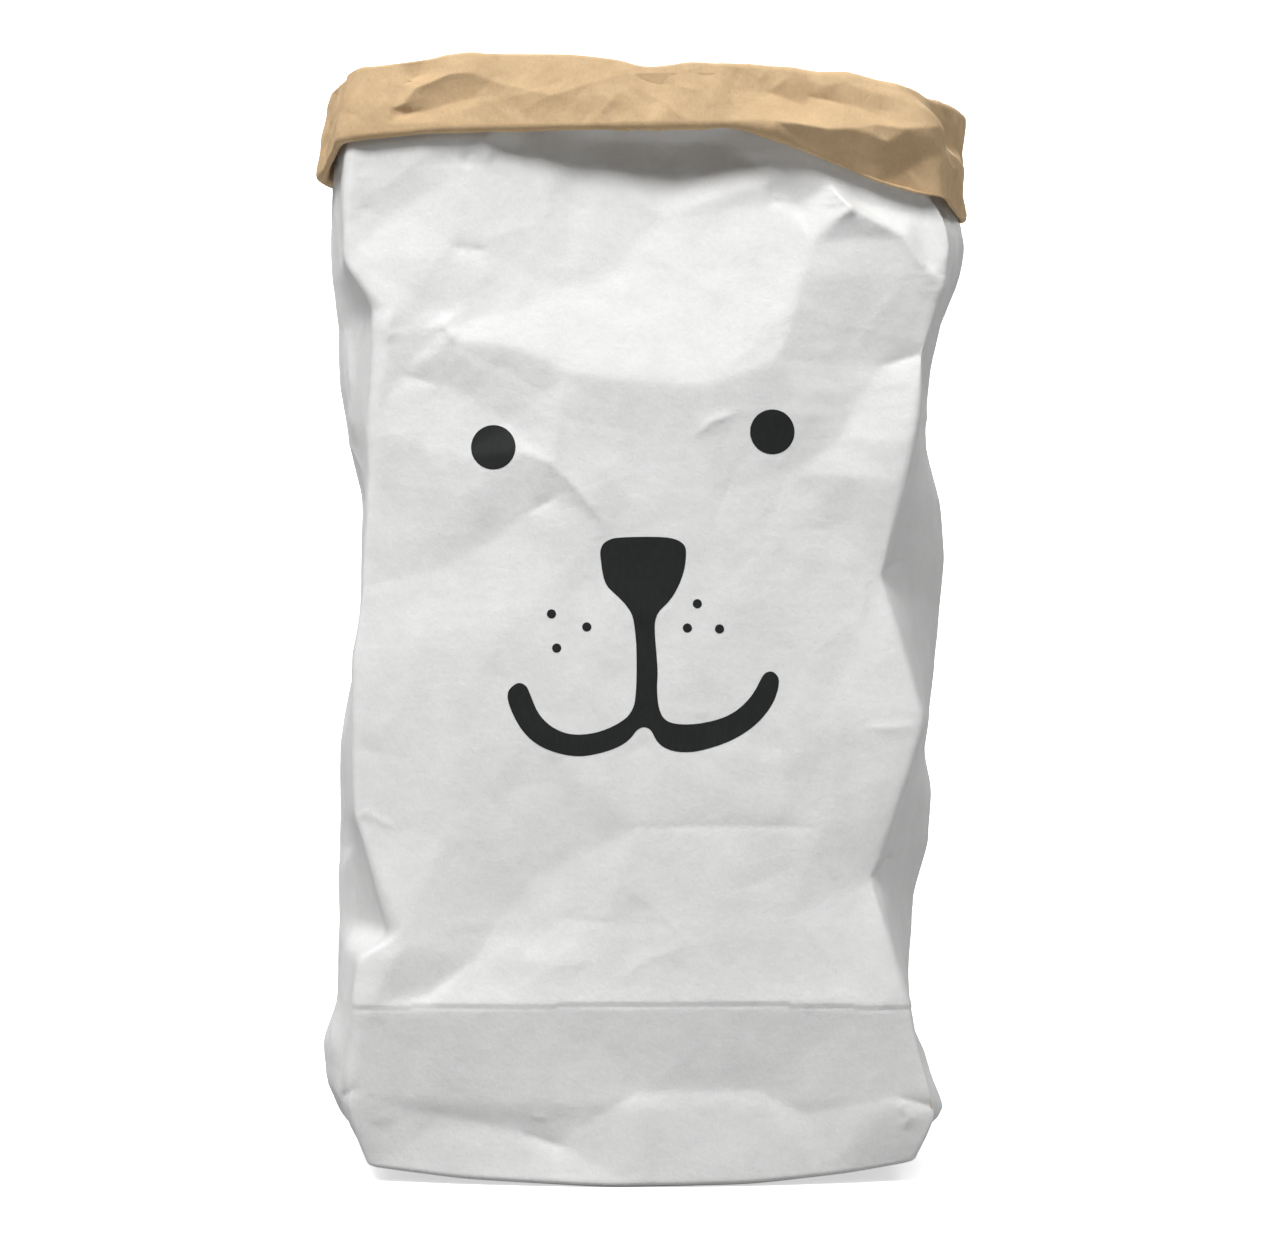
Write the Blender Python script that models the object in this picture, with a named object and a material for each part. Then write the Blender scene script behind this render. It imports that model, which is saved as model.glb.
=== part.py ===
"""Tall two-ply paper storage sack, standing open with its rim rolled down twice.

Metres, +Z up, front towards -Y. The origin is the middle of the base, on the floor.
In plan the sack is a hexagon: a front and a back panel, and on each side two half
panels that meet at the edge crease of the flat tube. Every hinge line lies on the
hexagon, and the plies are stacked outwards from it, so the panels fold flat freely.
"""

from math import cos, hypot, pi, sin, sqrt

import bmesh
import bpy

# The flat tube and the shape it stands in
FLAT_WIDTH = 0.500          # the tube pressed flat, from edge crease to edge crease
FACE_WIDTH = 0.292          # front and back panel, from corner crease to corner crease
BASE_DEPTH = 0.196          # from the front panel to the back panel
SIDE_HALF = (FLAT_WIDTH - FACE_WIDTH) / 2
SIDE_BULGE = sqrt(SIDE_HALF**2 - (BASE_DEPTH / 2) ** 2)
HEIGHT = 0.620              # floor to rolled rim
BOTTOM_CREASE = BASE_DEPTH / 2

# Paper, drawn thicker than it is so that each ply is a sound solid
PLY = 0.0003
GAP = 0.0003
WALL_START = 0.00015        # from the hinge line to the inner ply
INNER_PLY = WALL_START
OUTER_PLY = INNER_PLY + PLY + GAP
LAP = OUTER_PLY + PLY + GAP
LAP_WIDTH = 0.030
PANEL_END_GAP = 0.0004      # from a panel's end to its hinge line

# The folded bottom, in layers from the floor up
LAYER = PLY + GAP
BASE_LAP = 0.040
END_FLAP_REACH = 0.085
WALL_BOTTOM = 5 * LAYER
WALL_TOP = HEIGHT - 0.0015

# The rolled rim
ROLL_PLY = 0.0006           # both plies together
ROLL_START = LAP + PLY + GAP
ROLL_WIDTH = 0.0062
ROLL_BEND_STEPS = 6
# How far down the rim is rolled, as (share of the panel's length, depth)
ROLL_DEPTHS = {
    "front": (
        (0.00, 0.0465), (0.12, 0.0430), (0.71, 0.0415), (0.78, 0.0545),
        (0.87, 0.0715), (1.00, 0.0820),
    ),
    "right_front": ((0.00, 0.0820), (1.00, 0.0800)),
    "right_rear": ((0.00, 0.0800), (1.00, 0.0620)),
    "back": ((0.00, 0.0620), (0.40, 0.0480), (1.00, 0.0500)),
    "left_rear": ((0.00, 0.0500), (1.00, 0.0540)),
    "left_front": ((0.00, 0.0540), (1.00, 0.0465)),
}

# The printed face, as x across and z up
INK = 0.00015
INK_START = OUTER_PLY + PLY + GAP
EYE_RADIUS = 0.0122
EYES = {"left": (-0.0815, 0.404), "right": (0.0703, 0.4123)}
DOT_RADIUS = 0.0027
DOTS = {
    "left": ((-0.0498, 0.3133), (-0.0306, 0.3062), (-0.0470, 0.2947)),
    "right": ((0.0295, 0.3188), (0.0241, 0.3056), (0.0416, 0.3051)),
}
# The nose, the stem below it and both sides of the mouth: one outline in millimetres,
# clockwise from the nose's upper left corner
NOSE_AND_MOUTH = (
    (-18, 353.7), (-14, 354.7), (0, 355.2), (12, 354.9), (18, 353.7), (22.3, 350.9),
    (23.4, 346.9), (22.8, 339.4), (20.5, 331.4), (16.5, 323.4), (12.5, 318.4), (9, 314.9),
    (6.8, 310.4), (6.4, 303.4), (7.3, 291.4), (7.9, 281.4), (7.6, 272.4), (8.4, 263.4),
    (11, 256.9), (16, 253.9), (25, 253.2), (35, 254.4), (45, 257.4), (53, 262.4),
    (59.5, 269.4), (64, 277.4), (66, 280.7), (69.5, 282.1), (73, 279.9), (74, 275.4),
    (71.5, 266.4), (66, 257.9), (58, 250.4), (48, 244.4), (37, 240.4), (27, 238.2),
    (18, 238.4), (11, 240.9), (7, 244.9), (4.4, 249.9), (0.5, 251.8), (-3.6, 249.8),
    (-7, 245.4), (-13, 241.2), (-22, 237.9), (-34, 235.8), (-46, 237.4), (-57, 241.9),
    (-65, 248.9), (-70.5, 257.9), (-73.6, 266.4), (-73, 271.9), (-68, 275.8),
    (-63.5, 273.9), (-61, 268.4), (-57, 259.4), (-51, 252.9), (-43, 248.7), (-34, 247.6),
    (-24, 249.2), (-15, 252.9), (-8.5, 257.4), (-5, 263.4), (-3.8, 272.4), (-3.5, 283.4),
    (-3.7, 296.4), (-4.8, 307.4), (-6.3, 313.4), (-10, 318.9), (-15, 323.9),
    (-19.5, 328.4), (-21.8, 334.4), (-22.8, 341.4), (-23.3, 347.4), (-21.5, 351.6),
)
CURVE_STEPS = 3

HEX = {
    "front_left": (-FACE_WIDTH / 2, -BASE_DEPTH / 2),
    "front_right": (FACE_WIDTH / 2, -BASE_DEPTH / 2),
    "edge_right": (FACE_WIDTH / 2 + SIDE_BULGE, 0.0),
    "back_right": (FACE_WIDTH / 2, BASE_DEPTH / 2),
    "back_left": (-FACE_WIDTH / 2, BASE_DEPTH / 2),
    "edge_left": (-FACE_WIDTH / 2 - SIDE_BULGE, 0.0),
}
# Each panel runs anticlockwise seen from above, so its outside is on its right
PANELS = {
    "front": ("front_left", "front_right"),
    "right_front": ("front_right", "edge_right"),
    "right_rear": ("edge_right", "back_right"),
    "back": ("back_right", "back_left"),
    "left_rear": ("back_left", "edge_left"),
    "left_front": ("edge_left", "front_left"),
}


def clear_scene():
    for obj in list(bpy.data.objects):
        bpy.data.objects.remove(obj, do_unlink=True)


def material(name, colour, roughness):
    made = bpy.data.materials.new(name)
    made.use_nodes = True
    shader = made.node_tree.nodes["Principled BSDF"]
    shader.inputs["Base Color"].default_value = (*colour, 1)
    shader.inputs["Roughness"].default_value = roughness
    shader.inputs["Metallic"].default_value = 0
    return made


def prism(name, outline, low, high, place, look):
    """A closed solid between two levels of an outline. place turns (a, b, level) into a point."""
    mesh = bpy.data.meshes.new(name)
    shape = bmesh.new()
    bottom = [shape.verts.new(place(a, b, low)) for a, b in outline]
    top = [shape.verts.new(place(a, b, high)) for a, b in outline]
    shape.faces.new(bottom)
    shape.faces.new(top)
    for i in range(len(outline)):
        j = (i + 1) % len(outline)
        shape.faces.new((bottom[i], bottom[j], top[j], top[i]))
    bmesh.ops.recalc_face_normals(shape, faces=shape.faces)
    shape.to_mesh(mesh)
    shape.free()
    obj = bpy.data.objects.new(name, mesh)
    bpy.context.scene.collection.objects.link(obj)
    mesh.materials.append(look)
    return obj


def panel_frame(panel):
    """The panel's start corner, its unit direction, its outward unit vector and its length."""
    (ax, ay), (bx, by) = (HEX[corner] for corner in PANELS[panel])
    length = hypot(bx - ax, by - ay)
    along = ((bx - ax) / length, (by - ay) / length)
    return (ax, ay), along, (along[1], -along[0]), length


def on_panel(panel):
    """A placing function: (distance along the panel, distance outwards) and height."""
    start, along, outward, _ = panel_frame(panel)

    def place(distance, out, z):
        x = start[0] + along[0] * distance + outward[0] * out
        y = start[1] + along[1] * distance + outward[1] * out
        return (x, y, z)

    return place


def sheet_on_panel(name, panel, out, first, last, low, high, look):
    """A flat rectangle of one ply, standing on a panel."""
    outline = ((first, out), (last, out), (last, out + PLY), (first, out + PLY))
    return prism(name, outline, low, high, on_panel(panel), look)


def make_ply(name, out, look):
    """The upright panels of one paper tube."""
    for panel in PANELS:
        last = panel_frame(panel)[3] - PANEL_END_GAP
        if panel == "front":
            split = BOTTOM_CREASE
            sheet_on_panel(
                f"{name}_front_panel", panel, out, PANEL_END_GAP, last,
                split + GAP / 2, WALL_TOP, look,
            )
            sheet_on_panel(
                f"{name}_front_lower_panel", panel, out, PANEL_END_GAP, last,
                WALL_BOTTOM, split - GAP / 2, look,
            )
            continue
        sheet_on_panel(
            f"{name}_{panel}_panel", panel, out, PANEL_END_GAP, last,
            WALL_BOTTOM, WALL_TOP, look,
        )


def make_outer_seam(look):
    """The glued lap that closes the outer tube, left of the middle of the back."""
    middle = FACE_WIDTH * 0.62
    return sheet_on_panel(
        "outer_seam_lap", "back", LAP, middle - LAP_WIDTH / 2, middle + LAP_WIDTH / 2,
        WALL_BOTTOM, WALL_TOP, look,
    )


def make_inner_seam(look):
    """The glued lap that closes the inner tube, inside the back panel."""
    middle = FACE_WIDTH * 0.38
    return sheet_on_panel(
        "inner_seam_lap", "back", -GAP - PLY, middle - LAP_WIDTH / 2, middle + LAP_WIDTH / 2,
        WALL_BOTTOM, WALL_TOP, look,
    )


def roll_profile(depth):
    """The rim rolled outwards and down, then turned up inside itself, as (out, z) points."""
    middle = ROLL_START + ROLL_WIDTH / 2
    top = HEIGHT - ROLL_WIDTH / 2
    bottom = HEIGHT - depth + ROLL_WIDTH / 2
    outer, inner = ROLL_WIDTH / 2, ROLL_WIDTH / 2 - ROLL_PLY
    turns = [pi * step / ROLL_BEND_STEPS for step in range(ROLL_BEND_STEPS + 1)]
    outside = [(middle - outer * cos(a), top + outer * sin(a)) for a in turns]
    outside += [(middle + outer * cos(a), bottom - outer * sin(a)) for a in turns]
    inside = [(middle - inner * cos(a), top + inner * sin(a)) for a in turns]
    inside += [(middle + inner * cos(a), bottom - inner * sin(a)) for a in turns]
    raw_edge = top - 0.004
    start = [(middle - inner, raw_edge + 0.002), (middle - outer, raw_edge + 0.002)]
    end = [(middle - outer, raw_edge), (middle - inner, raw_edge)]
    return start[1:] + outside + end + inside[::-1] + start[:1]


def make_cuff(panel, look):
    """One side of the rolled rim, as deep as its depths say. Its ends are square to the panel."""
    place = on_panel(panel)
    length = panel_frame(panel)[3] - 2 * PANEL_END_GAP
    mesh = bpy.data.meshes.new(f"rolled_cuff_{panel}")
    shape = bmesh.new()
    rings = []
    for share, depth in ROLL_DEPTHS[panel]:
        distance = PANEL_END_GAP + share * length
        rings.append(
            [shape.verts.new(place(distance, out, z)) for out, z in roll_profile(depth)]
        )
    shape.faces.new(rings[0])
    shape.faces.new(rings[-1])
    for first, second in zip(rings, rings[1:]):
        for i in range(len(first)):
            j = (i + 1) % len(first)
            shape.faces.new((first[i], first[j], second[j], second[i]))
    bmesh.ops.recalc_face_normals(shape, faces=shape.faces)
    shape.to_mesh(mesh)
    shape.free()
    mesh.materials.append(look)
    obj = bpy.data.objects.new(mesh.name, mesh)
    bpy.context.scene.collection.objects.link(obj)
    return obj


def flat_place(x, y, z):
    return (x, y, z)


def make_base_flaps(look):
    """The outer ply's bottom: front and back flaps that lap in the middle, over end flaps."""
    half_width, half_depth = FACE_WIDTH / 2, BASE_DEPTH / 2
    front = ((-half_depth, 0), (0, 0), (0, PLY), (-half_depth, PLY))
    back = (
        (half_depth, 0), (half_depth, PLY), (GAP + PLY, PLY), (GAP + PLY, LAYER + PLY),
        (-BASE_LAP, LAYER + PLY), (-BASE_LAP, LAYER), (GAP, LAYER), (GAP, 0),
    )

    def across(y, z, x):
        return (x, y, z)

    prism("base_front_flap", front, -half_width, half_width, across, look)
    prism("base_back_flap", back, -half_width, half_width, across, look)
    for side, sign in (("left", -1), ("right", 1)):
        edge = sign * (half_width + SIDE_BULGE)
        corner = sign * half_width
        tip = sign * (half_width - END_FLAP_REACH)
        outline = (
            (edge, 0), (corner, half_depth), (tip, half_depth * 0.30),
            (tip, -half_depth * 0.30), (corner, -half_depth),
        )
        prism(
            f"base_end_flap_{side}", outline, 2 * LAYER, 2 * LAYER + PLY, flat_place, look
        )


def make_inner_base(look):
    """The inner ply's bottom, which closes the whole hexagon."""
    outline = [HEX[PANELS[panel][0]] for panel in PANELS]
    return prism(
        "inner_base_sheet", outline, 3 * LAYER, 3 * LAYER + PLY, flat_place, look
    )


def on_front(x, z, out):
    """A placing function for ink: a point of the front panel, out towards -Y."""
    return (x, -BASE_DEPTH / 2 - out, z)


def disc(centre, radius, steps):
    turns = [2 * pi * step / steps for step in range(steps)]
    return [(centre[0] + radius * cos(a), centre[1] + radius * sin(a)) for a in turns]


def smooth_loop(points):
    """A closed curve that passes smoothly through the points (a Catmull-Rom spline)."""
    curve = []
    for i, start in enumerate(points):
        end = points[(i + 1) % len(points)]
        after = points[(i + 2) % len(points)]
        corners = (points[i - 1], start, end, after)
        for step in range(CURVE_STEPS):
            t = step / CURVE_STEPS
            weights = (
                -0.5 * t + t**2 - 0.5 * t**3,
                1 - 2.5 * t**2 + 1.5 * t**3,
                0.5 * t + 2 * t**2 - 1.5 * t**3,
                -0.5 * t**2 + 0.5 * t**3,
            )
            x = sum(weight * corner[0] for weight, corner in zip(weights, corners))
            z = sum(weight * corner[1] for weight, corner in zip(weights, corners))
            curve.append((x, z))
    return curve


def make_face(look):
    """The printed ink: two eyes, six dots, and a nose that runs into the mouth."""
    low, high = INK_START, INK_START + INK
    for side, centre in EYES.items():
        prism(f"printed_eye_{side}", disc(centre, EYE_RADIUS, 40), low, high, on_front, look)
    for side, centres in DOTS.items():
        for number, centre in enumerate(centres, 1):
            dot = disc(centre, DOT_RADIUS, 16)
            prism(f"printed_dot_{side}_{number}", dot, low, high, on_front, look)
    outline = [(x / 1000, z / 1000) for x, z in smooth_loop(NOSE_AND_MOUTH)]
    prism("printed_nose_and_mouth", outline, low, high, on_front, look)


def main():
    clear_scene()
    white = material("white_paper", (0.80, 0.80, 0.79), 0.7)
    brown = material("brown_kraft", (0.55, 0.37, 0.21), 0.75)
    ink = material("black_ink", (0.03, 0.032, 0.03), 0.5)
    make_ply("outer", OUTER_PLY, white)
    make_ply("inner", INNER_PLY, brown)
    make_outer_seam(white)
    make_inner_seam(brown)
    make_base_flaps(white)
    make_inner_base(brown)
    for panel in PANELS:
        make_cuff(panel, brown)
    make_face(ink)


main()
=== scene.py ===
"""Looks of the rolled-rim paper storage sack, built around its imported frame.

The sack is two plies of paper: a white outer one and a brown inner one whose rim is
rolled outwards and down twice. Both are lofted from one outline that changes with
height, then creased, dented and wrinkled by adding folds to the surface.
"""

import bpy
import numpy as np
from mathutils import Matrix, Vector
from mathutils.bvhtree import BVHTree
from mathutils.geometry import delaunay_2d_cdt


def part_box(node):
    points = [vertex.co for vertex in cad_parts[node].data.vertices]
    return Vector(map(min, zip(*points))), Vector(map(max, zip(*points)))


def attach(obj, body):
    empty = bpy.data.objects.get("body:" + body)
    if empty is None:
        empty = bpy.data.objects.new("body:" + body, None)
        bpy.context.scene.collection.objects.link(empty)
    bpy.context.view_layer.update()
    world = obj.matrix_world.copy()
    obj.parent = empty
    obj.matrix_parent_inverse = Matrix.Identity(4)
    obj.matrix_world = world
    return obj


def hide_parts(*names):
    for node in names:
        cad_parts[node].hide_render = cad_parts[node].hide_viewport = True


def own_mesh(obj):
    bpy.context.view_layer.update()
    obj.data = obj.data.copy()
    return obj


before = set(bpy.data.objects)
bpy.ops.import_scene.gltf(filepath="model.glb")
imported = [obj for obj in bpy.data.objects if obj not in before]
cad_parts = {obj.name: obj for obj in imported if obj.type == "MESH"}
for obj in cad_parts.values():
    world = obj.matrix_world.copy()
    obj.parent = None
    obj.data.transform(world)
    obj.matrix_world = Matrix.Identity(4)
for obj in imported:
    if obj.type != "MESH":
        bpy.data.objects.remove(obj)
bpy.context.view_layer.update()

# ---- sizes from the frame

FRONT_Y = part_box("inner_front_panel")[0][1]
BOTTOM_CREASE_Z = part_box("outer_front_lower_panel")[1][2]
RIM_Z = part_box("rolled_cuff_front")[1][2]
MID_Z = RIM_Z / 2

# ---- the loft's own settings

MM = 1e-3
ROWS = 420
FRONT_COLUMNS = 250
SIDE_COLUMNS = 60
BACK_COLUMNS = 120
COLUMNS = FRONT_COLUMNS + 4 * SIDE_COLUMNS + BACK_COLUMNS
WALL_TOP_Z = RIM_Z - 0.012
RIM_TUCK = 0.006            # how far the plies end below the rim's top
EDGE_RADIUS = 0.0035
PLY_GAP = 0.0007
INK_PROUD = 0.00015
RIM_INSIDE = 0.0010         # the rim's inner face, inside the outer ply
RIM_CLEAR = 0.0022          # the least gap between the rim's outer face and the wall
RIM_LIMIT = 0.0008          # how far out the wall may come behind the rim
LIMIT_SOFTNESS = 0.0006
SEAM_FADE = 0.035           # the paper is flat this near the middle of the back
EDGE_RIDGE_COLUMNS = 1.8
RIM_LIMIT_START = 0.0010
LOWER_ROLL = 0.0018         # radius of the fold along the rim's lower edge
RIM_LOW_Z, RIM_MIDDLE_Z, RIM_HIGH_Z = 0.538, 0.580, 0.610
LIFT_POWER = 4              # how soon the underside leaves the floor near its corners
INNER_BASE_Z = 0.0030
INNER_BASE_SHARE = 0.985
FLAP_THICKNESS = 0.0002
FLAP_EDGE_STEP, FLAP_FILL_STEP = 0.006, 0.008
FLAP_SHARE = 0.965          # how much of the way to the bottom edge the flaps reach
OUTER_LAP_PROUD = 0.0004    # how far out of the outer ply's surface each lap's face is
INNER_LAP_PROUD = -0.0012
LAP_THICKNESS = 0.00025
INK_STEP = 0.0006
INK_FILL_STEP = 0.0014
FRONT_FACE_DEPTH = 5e-5     # CAD points this near the front are on the ink's face
INK_SOFTNESS = 1.6          # in steps
FOLD_REACH = 4.5            # how many widths away from its line a crease ends
WALL_STRENGTH = 1.05        # of the wall's facets, against their tables
WALL_FOLD_STRENGTH = 1.6
RIM_FOLD_STRENGTH = 1.3
# Boxes in millimetres that facets fill: (left, low, right, high), round from the front
FRONT_HALF = (-260, -30, 260, 650)
WHOLE_WALL = (-520, -30, 520, 650)
RIM_BAND = (-520, 500, 520, 650)
RIM_STEPS = {"inside": 10, "top": 14, "face": 64, "under": 12, "return": 24}

# Outlines as (height, place) pairs in millimetres, joined by straight runs and then softened.
LEFT_EDGE_X = (
    (0, -159), (20, -174), (42, -184.5), (66, -184.8), (90, -175.5), (120, -175.2), (240, -174.2),
    (275, -168), (292, -163.2), (330, -163.2), (375, -161.8), (410, -167.2), (445, -173.5),
    (490, -177.2), (575, -179), (620, -179),
)
RIGHT_EDGE_X = (
    (0, 158), (21, 174.8), (60, 163), (86, 152.5), (152, 154.5), (182, 164), (212, 166.8),
    (232, 163.6), (300, 170.5), (345, 173.5), (378, 170.8), (418, 160.2), (448, 164), (478, 170.6),
    (505, 182.8), (523, 186.2), (548, 182.2), (620, 180.5),
)
FRONT_LEFT_X = (
    (0, -152), (45, -166), (90, -160), (126, -156), (136, -133), (202, -159), (290, -159),
    (390, -150), (445, -147), (481, -145), (506, -165), (540, -164), (620, -153),
)
FRONT_RIGHT_X = (
    (0, 150), (36, 165), (98.5, 145), (167.8, 127.5), (254.2, 154), (332.4, 132.5), (416.7, 150),
    (457, 156.5), (494, 165), (512, 170), (528, 170), (552, 154), (575, 144), (600, 137),
    (620, 141),
)
FRONT_EDGE_Y = ((0, -87), (45, -98), (98.5, -99), (250, -100), (450, -100), (575, -97), (620, -96))
FRONT_BULGE = ((0, 17), (50, 10), (98.5, 6), (300, 6), (500, 6), (620, 7))
BACK_EDGE_Y = ((0, 90), (45, 100), (98, 96), (350, 99), (620, 96))
BACK_HALF_X = ((0, 148), (45, 158), (98, 148), (350, 145), (620, 147))
BACK_BULGE = ((0, 6), (250, 3), (450, -4), (620, 4))
# How far the bottom edge is off the floor, as (distance round, height) pairs
BOTTOM_LIFT = (
    (-500, 0), (-340, 4), (-250, 8), (-200, 10), (-160, 9), (-100, 3), (-20, 0), (60, 1), (115, 6),
    (160, 12.5), (200, 14), (250, 12), (340, 4), (500, 0),
)

# The rolled rim, as (distance round, place) pairs in millimetres: 0 is the middle of the
# front, positive goes to the right, and both ends are the middle of the back.
RIM_TOP_Z = (
    (-500, 612), (-380, 609), (-250, 613.5), (-165, 611.5), (-124.7, 615.8), (-95.7, 620.5),
    (-88, 619), (-40, 618.5), (-14, 615.5), (-1, 611.6), (15, 612.2), (27.4, 614.2), (80.4, 610),
    (97.4, 605.8), (141.7, 601), (170, 599), (250, 601.6), (360, 608), (500, 612),
)
RIM_BOTTOM_Z = (
    (-500, 571), (-360, 566), (-250, 564), (-190, 569), (-150, 573.1), (-112, 576.5), (50, 578.5),
    (61.8, 578), (73.8, 569.3), (89, 560), (110.5, 548), (130.7, 541.4), (160, 538.5),
    (250, 539.6), (340, 548), (420, 564), (500, 571),
)
RIM_OUT_TOP = ((-500, 3.6), (-150, 3.4), (0, 3.2), (180, 4), (500, 3.6))
RIM_OUT_LOW = (
    (-500, 7.5), (-250, 8.5), (-100, 7.2), (-30, 9.5), (45, 9.8), (80, 6.6), (150, 5.8),
    (250, 4.2), (500, 7),
)

# Lines along which the paper is bent into flat facets, as (distance round, height, how far
# out), all in millimetres. Points on different lines that are the same place are one point.
# The heights of these and of the folds count from TABLE_FLOOR.
TABLE_FLOOR = -1.6
FRONT_FACETS = (
    # Hollow under the rim, with the two places where the wall touches it
    ((-150, 580, 2), (-84, 580, 2), (-60, 577, -4), (-36, 575, -10), (18, 574, -17),
     (45, 575, -15), (62, 578, -7), (85, 578, 0), (130, 578, 3)),
    ((-160, 603, 0), (-80, 603, 0), (0, 603, 0), (70, 603, 0), (140, 603, 0)),
    ((-84, 580, 2), (-96, 559, 0), (-133, 536, -2), (-167, 506, -1)),
    ((-96, 559, 0), (-105, 517, 1), (-107, 472, 3)),
    # The bright hollow of the forehead: its upper valley, then the ridge below it
    ((-107, 472, 3), (-69, 481, 1), (-44, 492, -2), (-19, 497, -4), (-11, 509, -6), (9, 531, -9),
     (18, 574, -17)),
    ((-107, 472, 3), (-102, 464, 5), (-66, 459, 6), (-40, 446, 7), (9, 440, 8), (38, 440, 8),
     (71, 452, 7), (79, 467, 5)),
    ((-167, 506, -1), (-137, 481, 4), (-138, 465, 4), (-148, 416, 2), (-150, 390, 0)),
    ((-133, 445, 1), (-100, 436, 1), (-73, 419, 1)),
    # Puckers under the rim at the right, and the large turned facet below them
    ((62, 578, -6), (70, 552, -5), (72, 541, -6), (86, 538, -6), (102, 549, -1)),
    ((102, 549, -1), (114, 536, 7), (106, 531, 6), (93, 518, 2), (86, 499, 2), (82, 481, 4),
     (79, 467, 5)),
    ((118, 540, -3), (150, 533, -4), (180, 528, -4)),
    ((114, 536, 7), (142, 521, 3), (157, 500, 2), (164, 492, 1), (161, 481, -1), (157, 459, -4)),
    ((79, 467, 5), (108, 450, -4), (131, 450, -5), (157, 459, -4)),
    ((131, 450, -5), (115, 426, -4), (108, 410, -2), (82, 392, 1)),
    ((157, 459, -4), (152, 427, 1), (144, 409, 2), (141, 388, 2), (132, 335, -2)),
    # Round the eyes and the nose
    ((-66, 403, 4), (-51, 397, 5), (-36, 383, 5), (-20, 362, 4)),
    ((-47, 379, 2), (-62, 371, 0.5), (-80, 357, -1), (-109, 341, -2), (-146, 332, -2),
     (-155, 328, -2)),
    ((-150, 390, 0), (-155, 328, -2), (-160, 290, 0), (-160, 240, 0)),
    ((-100, 400, 3), (-100, 380, 2)),
    ((-100, 308, 1), (-60, 320, 2), (-40, 340, 3)),
    ((0, 405, 5), (35, 380, 4), (60, 345, 3)),
    ((-100, 270, 2), (-60, 250, 2), (0, 250, 3), (60, 245, 2.5), (100, 262, 2)),
    ((132, 335, -2), (142, 308, 0), (157, 264, 1), (142, 228, 1), (137, 208, 0), (127, 170, -3),
     (141, 137, 0), (144, 104, 1)),
    # Below the mouth
    ((-20, 214, 2.6), (50, 216, 2.6), (100, 212, 1.8)),
    ((-2, 198.5, 1.8), (50, 199, 1.5), (97, 198.5, 1.8)),
    ((-160, 202, -1), (-151, 206, -1), (-135, 197, -1), (-106, 195, 0), (-132, 135, 4),
     (-160, 202, -1)),
    ((-132, 135, 4), (-155, 126, 0), (-164, 105, 0)),
    ((-33, 185, -2), (-58, 171, -3), (-80, 147, -3), (-91, 127, -2.5), (-117, 107, -1)),
    ((-20, 150, 1), (-45, 128, 1), (-70, 107, 1.5)),
    ((30, 160, 2), (80, 150, 1), (100, 125, 1)),
    # The bottom crease, the hollow below it, and the bottom edge
    ((-164, 105, 0), (-150, 99, 1.5), (-117, 100, 2), (-40, 102, 2.5), (0, 102.5, 2.5),
     (56, 103, 2.5), (120, 101.5, 2), (144, 104, 1)),
    ((-178, 48, -2), (-160, 53, -4), (-144, 45, -6.5), (-109, 38, -8), (-80, 33, -8),
     (-47, 24, -7), (-20, 43, -6), (-2, 54, -5.5), (62, 54, -7), (90, 40, -8), (137, 49, -6),
     (172, 38, -4)),
    ((-155, 1.6, -1), (-100, 1.6, -1), (0, 1.6, -1), (100, 1.6, -1), (155, 1.6, -1)),
)
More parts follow.
